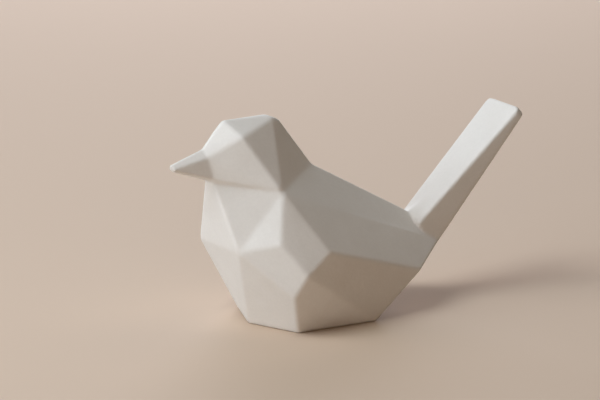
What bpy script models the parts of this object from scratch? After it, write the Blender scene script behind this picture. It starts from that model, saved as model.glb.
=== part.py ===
"""Ceramic bird figurine, slip-cast in one piece, with flat facets and softly rounded edges.

Metres, +Z up. The bird looks along -X and both sides are alike about the XZ plane.
The origin is the middle of the flat underside. The near side is the one at -Y.
"""
import math

import bmesh
import bpy
from mathutils import Vector
from mathutils.geometry import intersect_line_plane, normal

MM = 0.001

# Driving sizes of the body
BODY_LENGTH = 108 * MM  # root of the beak to root of the tail
BODY_WIDTH = 74 * MM  # at its widest, just below the folded wings
HEIGHT = 92 * MM  # underside to the front of the crown
EDGE_RADIUS = 1.0 * MM  # softening of the body's and the tail's edges
FINE_EDGE_RADIUS = 0.35 * MM  # softening of the edges of the beak, the chin and the underside
EDGE_SEGMENTS = 3  # flats across each softened edge

# Underside: a flat with a blunt point under the breast
BASE_LENGTH = 49 * MM
BASE_POINT = 9.7 * MM  # how far the point stands out in front
BASE_FRONT_WIDTH = 50 * MM
BASE_REAR_WIDTH = 53 * MM

# Beak: a blunt wedge with a ridge above and a keel below, by its sections at the root and the tip
BEAK_LENGTH = 16.1 * MM
BEAK_DROP = 5.1 * MM  # how far the tip of the ridge lies below its root
BEAK_ROOT = {
    "ridge": 3.3 * MM,  # height of the ridge above the flat sides
    "depth": 12.9 * MM,  # ridge to the lower edge of the flat sides
    "keel": 1.9 * MM,  # depth of the keel below that
    "top_width": 7.5 * MM,
    "bottom_width": 10.8 * MM,
    "setback": 0.23,  # how far it leans back for each unit that it goes down
}
BEAK_TIP = {
    "ridge": 1.8 * MM,
    "depth": 2.6 * MM,
    "keel": 0.8 * MM,
    "top_width": 4.1 * MM,
    "bottom_width": 4.1 * MM,
    "setback": 0.52,
}

# Chin: the face overhangs the throat by a narrow ledge that runs out at the cheek
CHIN_HEIGHT = 1.7 * MM
CHIN_DEPTH = 2.2 * MM  # how far it steps in on each side

# Tail: a long wedge that rises behind the body, measured square to its flat top
TAIL_RISE = math.radians(42.9)
TAIL_LENGTH = 64.7 * MM
TAIL_ROOT_WIDTH = 16.7 * MM
TAIL_ROOT_THICKNESS = 13.5 * MM
TAIL_TIP_WIDTH = 25 * MM
TAIL_TIP_THICKNESS = 3.9 * MM
TAIL_SPLAY = 0.07  # how much its sides stand outward for each unit that they go down
TAIL_CORNER_RADIUS = 3.5 * MM  # of the two corners at the tip, seen from above

# Back: how far its facets run down the sides of the tail
BACK_DROP = 6 * MM

# Web: small facets that fill the corner between the back and the tail
WEB_BACK = 4 * MM  # up the ridge of the back
WEB_MIDDLE = 7.5 * MM  # up the middle of the tail
WEB_SIDE = 2.8 * MM  # up the top edges of the tail
WEB_RADIUS = 3 * MM  # softening of the edges that meet on the middle of the tail

# Material
CERAMIC_COLOUR = (0.78, 0.75, 0.70, 1)
CERAMIC_ROUGHNESS = 0.65


def body_corner(along, out, up):
    """A corner of the body, as shares of its length, half its width and its height."""
    return Vector((along * BODY_LENGTH, -out * BODY_WIDTH / 2, up * HEIGHT))


def base_corners():
    point = -BASE_LENGTH / 2
    return {
        "base point": Vector((point, 0, 0)),
        "base front": Vector((point + BASE_POINT, -BASE_FRONT_WIDTH / 2, 0)),
        "base rear": Vector((BASE_LENGTH / 2, -BASE_REAR_WIDTH / 2, 0)),
    }


def body_corners():
    """Breast, belly and folded wing, from the front to the rump."""
    return {
        "breast": body_corner(-0.364, 0.432, 0.401),
        "shoulder": body_corner(-0.240, 0.79, 0.452),
        "belly": body_corner(-0.196, 0.88, 0.193),
        "thigh": body_corner(-0.157, 1.00, 0.303),
        "wing": body_corner(-0.046, 0.97, 0.402),
        "rump": body_corner(0.457, 0.65, 0.206),
    }


def head_corners():
    """Forehead and crown, and the corners where the head runs into the body."""
    return {
        "forehead": body_corner(-0.346, 0, 1.000),
        "brow": body_corner(-0.312, 0.29, 0.936),
        "crest": body_corner(-0.146, 0, 0.998),
        "crown": body_corner(-0.129, 0.085, 0.987),
        "poll": body_corner(-0.081, 0, 0.965),
        "nape": body_corner(0.073, 0, 0.729),
        "cheek": body_corner(-0.193, 0.607, 0.683),
    }


def beak_section(ridge, sizes, suffix=""):
    """Corners of one section across the beak, down from the corner on its ridge."""
    corners = {}
    lower = sizes["depth"]
    for name, out, down in (
        ("beak ridge", 0, 0),
        ("beak upper", sizes["top_width"] / 2, sizes["ridge"]),
        ("beak lower", sizes["bottom_width"] / 2, lower),
        ("beak keel", 0, lower + sizes["keel"]),
    ):
        corners[name + suffix] = ridge + Vector((sizes["setback"] * down, -out, -down))
    return corners


def beak_corners(breast):
    """The beak's sections at its root and its tip, and the corner of the chin."""
    ridge = body_corner(-0.441, 0, 0.876)
    corners = beak_section(ridge, BEAK_ROOT)
    corners.update(beak_section(ridge + Vector((-BEAK_LENGTH, 0, -BEAK_DROP)), BEAK_TIP, " tip"))

    keel = corners["beak keel"]
    lower = corners["beak lower"]
    height = lower.z - CHIN_HEIGHT
    share = (keel.z - height) / (keel.z - breast.z)
    corners["chin"] = Vector((keel.x + share * (breast.x - keel.x), lower.y + CHIN_DEPTH, height))
    return corners


def tail_corners(cheek, nape, wing, rump):
    """The wedge's own corners at the tip, and those where its edges run into the back and the flank."""
    root = body_corner(0.559, 0, 0.408)
    ridge = (nape - root).normalized()
    along = Vector((math.cos(TAIL_RISE), 0, math.sin(TAIL_RISE)))
    down = Vector((along.z, -TAIL_SPLAY, -along.x))
    root_edge = root - Vector((0, TAIL_ROOT_WIDTH / 2, 0))
    tip_edge = root + TAIL_LENGTH * along - Vector((0, TAIL_TIP_WIDTH / 2, 0))
    root_under = root_edge + TAIL_ROOT_THICKNESS * down
    tip_under = tip_edge + TAIL_TIP_THICKNESS * down

    back = normal((cheek, nape, root))
    flank = normal((cheek, wing, rump))
    side = normal((tip_edge, root_under, root_edge))
    side_root = intersect_line_plane(tip_edge, root_edge, cheek, back)
    return {
        "tail root": root + WEB_BACK * ridge,
        "tail web": root + WEB_MIDDLE * along,
        "tail top": side_root + WEB_SIDE * (tip_edge - root_edge).normalized(),
        "tail side": side_root + BACK_DROP * back.cross(side).normalized(),
        "tail foot": intersect_line_plane(tip_under, root_under, cheek, flank),
        "tail tip top": tip_edge,
        "tail tip under": tip_under,
    }


def all_corners():
    corners = {**base_corners(), **body_corners(), **head_corners()}
    corners.update(beak_corners(corners["breast"]))
    joined = [corners[name] for name in ("cheek", "nape", "wing", "rump")]
    return {**corners, **tail_corners(*joined)}


# Facets of the near side, each by its corners. They are mirrored to the far side.
SIDE_FACETS = [
    ("beak ridge tip", "beak ridge", "beak upper", "beak upper tip"),
    ("beak upper tip", "beak upper", "beak lower", "beak lower tip"),
    ("beak lower tip", "beak lower", "beak keel", "beak keel tip"),
    ("beak ridge", "forehead", "brow", "beak upper"),
    ("forehead", "crest", "crown", "brow"),
    ("beak upper", "brow", "cheek", "beak lower"),
    ("brow", "crown", "cheek"),
    ("crown", "poll", "nape", "cheek"),
    ("beak lower", "cheek", "chin"),
    ("beak lower", "chin", "beak keel"),
    ("chin", "cheek", "breast"),
    ("cheek", "shoulder", "breast"),
    ("cheek", "wing", "thigh", "shoulder"),
    ("breast", "shoulder", "thigh", "belly"),
    ("breast", "belly", "base front", "base point"),
    ("belly", "thigh", "base rear", "base front"),
    ("thigh", "wing", "rump", "base rear"),
    ("wing", "cheek", "tail side", "tail foot", "rump"),
    ("cheek", "nape", "tail root", "tail side"),
    ("tail root", "tail top", "tail side"),
    ("tail root", "tail web", "tail top"),
    ("tail top", "tail tip top", "tail tip under", "tail foot", "tail side"),
]

# Facets that cross the middle, by the corners of their near half in order.
MIDDLE_FACETS = [
    ("poll", "crown", "crest"),
    ("beak ridge tip", "beak upper tip", "beak lower tip", "beak keel tip"),
    ("beak keel", "chin", "breast"),
    ("breast", "base point"),
    ("base point", "base front", "base rear"),
    ("tail web", "tail top", "tail tip top"),
    ("tail tip top", "tail tip under"),
    ("tail tip under", "tail foot"),
    ("tail foot", "rump"),
    ("rump", "base rear"),
]


def ceramic():
    material = bpy.data.materials.new("matt_white_ceramic")
    material.use_nodes = True
    shader = material.node_tree.nodes["Principled BSDF"]
    shader.inputs["Base Color"].default_value = CERAMIC_COLOUR
    shader.inputs["Roughness"].default_value = CERAMIC_ROUGHNESS
    shader.inputs["Metallic"].default_value = 0
    return material


def edge_radius(ends):
    """Radius of the edge between two corners, given their names as a set."""
    if ends == {"tail tip top", "tail tip under"}:
        return TAIL_CORNER_RADIUS
    if "tail web" in ends:
        return WEB_RADIUS
    fine = [name for name in ends if name.startswith(("beak", "chin", "base"))]
    if len(fine) == len(ends) or ends in ({"beak lower", "cheek"}, {"chin", "cheek"}):
        return FINE_EDGE_RADIUS
    return EDGE_RADIUS


def faceted_bird():
    """One closed mesh from the named corners, with a vertex on each side for those off the middle."""
    mesh = bmesh.new()
    near = {}
    far = {}
    named = {}
    for name, place in all_corners().items():
        near[name] = mesh.verts.new(place)
        far[name] = near[name]
        if place.y:
            far[name] = mesh.verts.new((place.x, -place.y, place.z))
        named[near[name]] = name
        named[far[name]] = name
    for names in SIDE_FACETS:
        for side in (near, far):
            mesh.faces.new([side[name] for name in names])
    for names in MIDDLE_FACETS:
        outline = [near[name] for name in names] + [far[name] for name in reversed(names)]
        mesh.faces.new(list(dict.fromkeys(outline)))
    weight = mesh.edges.layers.float.new("bevel_weight_edge")
    for edge in mesh.edges:
        ends = {named[vertex] for vertex in edge.verts}
        edge[weight] = edge_radius(ends) / TAIL_CORNER_RADIUS
    bmesh.ops.recalc_face_normals(mesh, faces=mesh.faces)
    return mesh


def build():
    for old in list(bpy.data.objects):
        bpy.data.objects.remove(old, do_unlink=True)
    data = bpy.data.meshes.new("bird_figurine")
    mesh = faceted_bird()
    mesh.to_mesh(data)
    mesh.free()
    bird = bpy.data.objects.new("bird_figurine", data)
    bpy.context.scene.collection.objects.link(bird)
    data.materials.append(ceramic())
    soften = bird.modifiers.new("soft edges", "BEVEL")
    soften.width = TAIL_CORNER_RADIUS
    soften.segments = EDGE_SEGMENTS
    soften.limit_method = "WEIGHT"


build()
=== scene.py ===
"""Looks of the ceramic bird figurine.

Its soft-edged matt surface is a fine mesh laid over the CAD solid. Around it are a plain pale floor,
soft studio light and a camera at the photograph's viewing angle. Metres, +Z up, in the row's frame.
"""
import math

import bpy
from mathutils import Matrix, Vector


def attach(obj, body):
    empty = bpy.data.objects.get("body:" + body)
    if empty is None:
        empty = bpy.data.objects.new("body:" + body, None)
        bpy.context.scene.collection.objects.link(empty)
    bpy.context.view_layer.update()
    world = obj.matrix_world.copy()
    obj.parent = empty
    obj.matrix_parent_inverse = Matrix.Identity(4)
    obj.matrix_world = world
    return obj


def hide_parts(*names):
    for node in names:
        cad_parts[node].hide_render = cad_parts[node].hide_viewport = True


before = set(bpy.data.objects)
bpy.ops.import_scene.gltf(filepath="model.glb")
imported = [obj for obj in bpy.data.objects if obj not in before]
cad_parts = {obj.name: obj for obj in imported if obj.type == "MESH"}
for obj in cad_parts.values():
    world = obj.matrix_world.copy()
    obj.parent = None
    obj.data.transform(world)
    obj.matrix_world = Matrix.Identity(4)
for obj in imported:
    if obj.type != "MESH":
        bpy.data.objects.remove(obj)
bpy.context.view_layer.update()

MM = 0.001

# Camera: a long lens, so that the bird is seen almost in parallel
CAMERA_AZIMUTH = -32.0  # degrees, 0 looks along +Y and negative moves towards the beak
CAMERA_ELEVATION = 14.5  # degrees
CAMERA_DISTANCE = 2.5916
CAMERA_TARGET = Vector((1.80 * MM, 0, 51.32 * MM))
CAMERA_REACH = 100  # nothing is drawn beyond this distance
SENSOR_WIDTH = 36.0  # mm of film
LENS = 360.0  # mm

# Surface of the bird
VOXEL = 0.65 * MM
SMOOTHING_STEPS = 2
SMOOTHING_FACTOR = 0.5

# Unglazed ceramic: a pale and a warmer tone in soft patches, with faint specks
CERAMIC_PALE = (0.815, 0.806, 0.785, 1)
CERAMIC_WARM = (0.785, 0.772, 0.748, 1)
PATCH_SIZE = 14 * MM
PATCH_DETAIL = 2
SPECK_SIZE = 1.2 * MM
SPECK_DETAIL = 3
SPECK_TONES = (0.970, 1.0)  # darkest and lightest, as shares of the colour

# Skin of the ceramic: how much its roughness varies, and its relief from broad to fine
SKIN_SIZE = 2.2 * MM
SKIN_DETAIL = 2
ROUGHNESS_RANGE = (0.60, 0.72)
RELIEF = (  # size, height and detail of each layer
    (16 * MM, 0.12 * MM, 1),
    (SKIN_SIZE, 0.060 * MM, SKIN_DETAIL),
    (0.35 * MM, 0.020 * MM, 3),
)

# Shader nodes
NOISE_RANGE = (0.3, 0.7)  # most of a noise texture's values lie between these
COLOUR_MIX_INPUTS = (0, 6, 7)  # a Mix node's sockets for its factor and its two colours
COLOUR_MIX_OUTPUT = 2

# Floor
FLOOR_HALF = 6.0
FLOOR_GAP = 0.1 * MM  # keeps the floor clear of the underside
FLOOR_COLOUR = (0.63, 0.50, 0.39, 1)
FLOOR_ROUGHNESS = 0.8

# Soft lights: azimuth and elevation in degrees of where each one stands, its watts and its colour
LIGHT_DISTANCE = 1.4
LIGHT_WIDTH = 0.9
LIGHTS = {
    "window_high": (-90, 60, 9.4, (0.93, 1.00, 1.03)),
    "window_low": (-90, 12, 7.1, (0.86, 1.00, 1.09)),
    "window_far_side": (-120, 35, 5.2, (1.07, 1.00, 1.01)),
    "back": (150, 12, 9.8, (1.02, 1.00, 1.06)),
    "right": (90, 60, 2.15, (1.15, 1.00, 0.82)),
    "front": (-30, 12, 1.8, (1.50, 1.00, 0.66)),
}


def direction(azimuth, elevation):
    """Unit vector from the bird to a place at this azimuth and elevation, in degrees."""
    a = math.radians(azimuth)
    e = math.radians(elevation)
    return Vector((math.sin(a) * math.cos(e), -math.cos(a) * math.cos(e), math.sin(e)))


def aim(thing, back):
    """Turns a camera or light so that it looks against back, with its top up."""
    thing.rotation_mode = "QUATERNION"
    thing.rotation_quaternion = (-back).to_track_quat("-Z", "Y")


def add(name, data):
    """A new object in the scene with this data."""
    thing = bpy.data.objects.new(name, data)
    bpy.context.scene.collection.objects.link(thing)
    return thing


def make_camera():
    camera = add("camera", bpy.data.cameras.new("camera"))
    camera.data.sensor_width = SENSOR_WIDTH
    camera.data.lens = LENS
    camera.data.clip_end = CAMERA_REACH
    back = direction(CAMERA_AZIMUTH, CAMERA_ELEVATION)
    camera.location = CAMERA_TARGET + back * CAMERA_DISTANCE
    aim(camera, back)
    bpy.context.scene.camera = camera


def make_lights():
    """Round soft lights that all face the bird, in a studio that is otherwise dark."""
    for name, (azimuth, elevation, power, colour) in LIGHTS.items():
        data = bpy.data.lights.new(name, "AREA")
        data.shape = "DISK"
        data.size = LIGHT_WIDTH
        data.energy = power
        data.color = colour
        light = add(name, data)
        back = direction(azimuth, elevation)
        light.location = CAMERA_TARGET + back * LIGHT_DISTANCE
        aim(light, back)
    world = bpy.data.worlds.new("dark_studio")
    world.use_nodes = True
    world.node_tree.nodes["Background"].inputs["Strength"].default_value = 0
    bpy.context.scene.world = world
    bpy.context.scene.view_settings.view_transform = "Standard"


def new_material(name):
    """A new material and its main shader node."""
    material = bpy.data.materials.new(name)
    material.use_nodes = True
    return material, material.node_tree.nodes["Principled BSDF"]


def make_floor():
    signs = ((-1, -1), (1, -1), (1, 1), (-1, 1))
    corners = [(x * FLOOR_HALF, y * FLOOR_HALF, -FLOOR_GAP) for x, y in signs]
    data = bpy.data.meshes.new("floor")
    data.from_pydata(corners, [], [(0, 1, 2, 3)])
    material, shader = new_material("floor")
    shader.inputs["Base Color"].default_value = FLOOR_COLOUR
    shader.inputs["Roughness"].default_value = FLOOR_ROUGHNESS
    data.materials.append(material)
    add("floor", data)


def ceramic():
    """Matt, unglazed warm white ceramic with soft patches, faint specks and an uneven skin."""
    material, shader = new_material("matt_white_ceramic")
    nodes = material.node_tree.nodes
    links = material.node_tree.links
    place = nodes.new("ShaderNodeTexCoord").outputs["Object"]

    def noise(size, detail):
        texture = nodes.new("ShaderNodeTexNoise")
        texture.inputs["Scale"].default_value = 1 / size
        texture.inputs["Detail"].default_value = detail
        links.new(place, texture.inputs["Vector"])
        return texture.outputs["Fac"]

    def spread(value, low, high):
        """Stretches a noise so that it runs from low to high."""
        scale = nodes.new("ShaderNodeMapRange")
        for name, end in zip(("From Min", "From Max", "To Min", "To Max"), (*NOISE_RANGE, low, high)):
            scale.inputs[name].default_value = end
        links.new(value, scale.inputs["Value"])
        return scale.outputs["Result"]

    def mix(kind, factor, first, second):
        """Mixes two colours. Each value is either a number or colour, or the socket that gives it."""
        blend = nodes.new("ShaderNodeMix")
        blend.data_type = "RGBA"
        blend.blend_type = kind
        for socket, value in zip(COLOUR_MIX_INPUTS, (factor, first, second)):
            if isinstance(value, bpy.types.NodeSocket):
                links.new(value, blend.inputs[socket])
            else:
                blend.inputs[socket].default_value = value
        return blend.outputs[COLOUR_MIX_OUTPUT]

    warmth = spread(noise(PATCH_SIZE, PATCH_DETAIL), 0, 1)
    patches = mix("MIX", warmth, CERAMIC_PALE, CERAMIC_WARM)
    specks = spread(noise(SPECK_SIZE, SPECK_DETAIL), *SPECK_TONES)
    links.new(mix("MULTIPLY", 1.0, patches, specks), shader.inputs["Base Color"])
    links.new(spread(noise(SKIN_SIZE, SKIN_DETAIL), *ROUGHNESS_RANGE), shader.inputs["Roughness"])

    normal = None
    for size, height, detail in RELIEF:
        bump = nodes.new("ShaderNodeBump")
        bump.inputs["Distance"].default_value = height
        links.new(noise(size, detail), bump.inputs["Height"])
        if normal:
            links.new(normal, bump.inputs["Normal"])
        normal = bump.outputs["Normal"]
    links.new(normal, shader.inputs["Normal"])
    return material


def make_bird():
    """A fine mesh over the CAD solid, smoothed so that its edges are soft and its facets stay flat."""
    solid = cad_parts["bird_figurine"]
    bird = add("bird_surface", solid.data.copy())
    fine = bird.modifiers.new("fine", "REMESH")
    fine.mode = "VOXEL"
    fine.voxel_size = VOXEL
    soft = bird.modifiers.new("soft", "SMOOTH")
    soft.factor = SMOOTHING_FACTOR
    soft.iterations = SMOOTHING_STEPS
    graph = bpy.context.evaluated_depsgraph_get()
    shape = bpy.data.meshes.new_from_object(bird.evaluated_get(graph))
    bird.modifiers.clear()
    bird.data = shape
    shape.shade_smooth()
    shape.materials.clear()
    shape.materials.append(ceramic())
    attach(bird, "root")
    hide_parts("bird_figurine")


make_camera()
make_lights()
make_floor()
make_bird()
